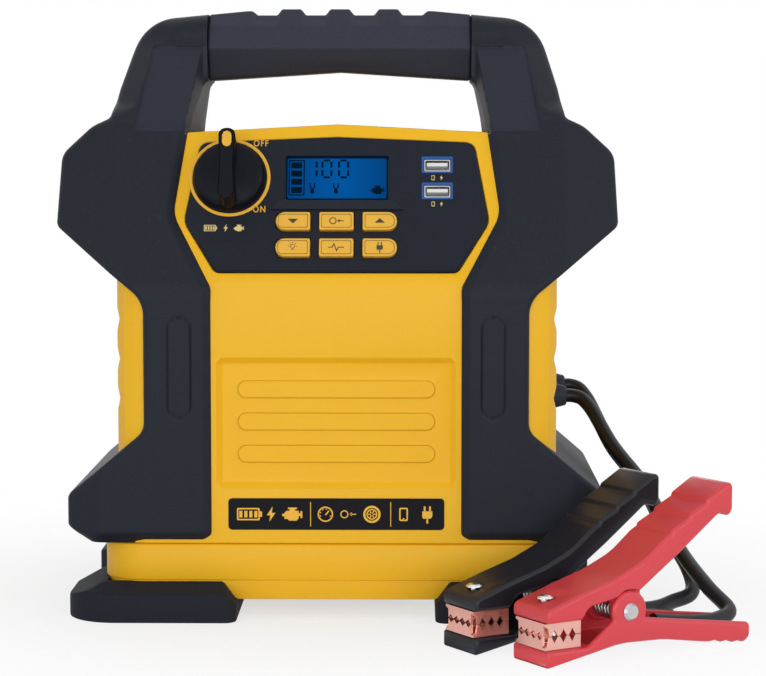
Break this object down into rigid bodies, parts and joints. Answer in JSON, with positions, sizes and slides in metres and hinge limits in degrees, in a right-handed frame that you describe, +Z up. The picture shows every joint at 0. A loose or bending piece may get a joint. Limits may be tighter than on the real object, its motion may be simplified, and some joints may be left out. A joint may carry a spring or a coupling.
{
  "type": "jump starter pack",
  "caption": "Portable car jump starter with a carrying handle, control panel, air compressor and two battery clamps on short cables.",
  "frame": {"origin": "middle of the pack's footprint, on the surface that it stands on", "axes": "+X to the user's right, +Z up, the control panel faces -Y; the clamps lie in front and to the right"},
  "size_m": [0.3444, 0.3033, 0.31],
  "materials": {
    "yellow_plastic": "moulded yellow, satin",
    "black_plastic": "moulded charcoal, fine texture",
    "panel_plastic": "moulded black, satin",
    "dark_plastic": "moulded black, plain",
    "button_plastic": "moulded yellow, satin",
    "white_plastic": "moulded white",
    "red_plastic": "moulded red, semi-gloss",
    "clamp_black_plastic": "moulded black, semi-gloss",
    "soft_rubber": "matt rubber",
    "cable_sheath": "soft vinyl",
    "display_glass": "blue backlit display window",
    "lamp_glass": "clear lens",
    "circuit_board": "green lacquer",
    "copper_sheet": "bent sheet, copper plated",
    "turned_brass": "turned",
    "bright_steel": "zinc plated",
    "spring_steel": "drawn wire",
    "plated_metal": "polished",
    "cast_aluminium": "die cast"
  },
  "bodies": {
    "pack": {"front_housing": "yellow_plastic", "rear_housing": "yellow_plastic", "front_frame": "black_plastic", "rear_frame": "black_plastic", "handle_grip": "soft_rubber", "base_tray": "yellow_plastic", "left_foot": "soft_rubber", "right_foot": "soft_rubber", "control_panel": "panel_plastic", "display_lens": "display_glass", "display_module": "circuit_board", "main_board": "circuit_board", "usb_socket_lower": "bright_steel", "usb_socket_upper": "bright_steel", "usb_tongue_lower": "white_plastic", "usb_tongue_upper": "white_plastic", "switch_body": "dark_plastic", "battery": "dark_plastic", "battery_terminal_plus": "bright_steel", "battery_terminal_minus": "bright_steel", "compressor_motor": "bright_steel", "compressor_crankcase": "cast_aluminium", "compressor_cylinder": "cast_aluminium", "lamp_lens": "lamp_glass", "lamp_reflector": "plated_metal", "charge_inlet": "dark_plastic", "hose_outlet": "turned_brass", "red_gland": "soft_rubber", "black_gland": "soft_rubber", "red_cable": "cable_sheath", "black_cable": "cable_sheath", "red_lower_handle": "red_plastic", "red_lower_jaw": "copper_sheet", "red_pivot": "bright_steel", "red_lower_rivet": "plated_metal", "red_spring": "spring_steel", "black_lower_handle": "clamp_black_plastic", "black_lower_jaw": "copper_sheet", "black_pivot": "bright_steel", "black_lower_rivet": "plated_metal", "black_spring": "spring_steel"},
    "knob": {"knob": "panel_plastic", "knob_pointer": "yellow_plastic"},
    "button_down": {"button_down": "button_plastic"},
    "button_air": {"button_air": "button_plastic"},
    "button_up": {"button_up": "button_plastic"},
    "button_light": {"button_light": "button_plastic"},
    "button_test": {"button_test": "button_plastic"},
    "button_usb": {"button_usb": "button_plastic"},
    "red_clamp_upper": {"red_upper_handle": "red_plastic", "red_upper_jaw": "copper_sheet", "red_upper_rivet": "plated_metal"},
    "black_clamp_upper": {"black_upper_handle": "clamp_black_plastic", "black_upper_jaw": "copper_sheet", "black_upper_rivet": "plated_metal"},
    "compressor_fan": {"compressor_fan": "dark_plastic"},
    "charge_cover": {"charge_cover": "soft_rubber"}
  },
  "joints": [
    {"name": "knob_turn", "type": "hinge", "parent": "pack", "child": "knob", "pos_m": [-0.0545, -0.06454, 0.22237], "axis": [0, 0.9426, -0.3338], "range_deg": [0, 90]},
    {"name": "button_down_press", "type": "slide", "parent": "pack", "child": "button_down", "axis": [0, 0.9426, -0.3338], "range_m": [0, 0.0012], "stiffness_N_per_m": 900},
    {"name": "button_air_press", "type": "slide", "parent": "pack", "child": "button_air", "axis": [0, 0.9426, -0.3338], "range_m": [0, 0.0012], "stiffness_N_per_m": 900},
    {"name": "button_up_press", "type": "slide", "parent": "pack", "child": "button_up", "axis": [0, 0.9426, -0.3338], "range_m": [0, 0.0012], "stiffness_N_per_m": 900},
    {"name": "button_light_press", "type": "slide", "parent": "pack", "child": "button_light", "axis": [0, 0.9426, -0.3338], "range_m": [0, 0.0012], "stiffness_N_per_m": 900},
    {"name": "button_test_press", "type": "slide", "parent": "pack", "child": "button_test", "axis": [0, 0.9426, -0.3338], "range_m": [0, 0.0012], "stiffness_N_per_m": 900},
    {"name": "button_usb_press", "type": "slide", "parent": "pack", "child": "button_usb", "axis": [0, 0.9426, -0.3338], "range_m": [0, 0.0012], "stiffness_N_per_m": 900},
    {"name": "red_clamp_open", "type": "hinge", "parent": "pack", "child": "red_clamp_upper", "pos_m": [0.13297, -0.16648, 0.0223], "axis": [-0.5299, 0.848, 0], "range_deg": [0, 32], "stiffness_Nm_per_rad": 1.5, "springref_deg": -17.19, "deforming": ["red_spring"]},
    {"name": "black_clamp_open", "type": "hinge", "parent": "pack", "child": "black_clamp_upper", "pos_m": [0.10067, -0.13778, 0.0223], "axis": [-0.5299, 0.848, 0], "range_deg": [0, 32], "stiffness_Nm_per_rad": 1.5, "springref_deg": -17.19, "deforming": ["black_spring"]},
    {"name": "fan_spin", "type": "hinge", "parent": "pack", "child": "compressor_fan", "pos_m": [-0.0485, 0.045, 0.05], "axis": [1, 0, 0], "continuous": true},
    {"name": "charge_cover_open", "type": "hinge", "parent": "pack", "child": "charge_cover", "pos_m": [-0.032, 0.089, 0.1198], "axis": [1, 0, 0], "range_deg": [0, 165]}
  ]
}
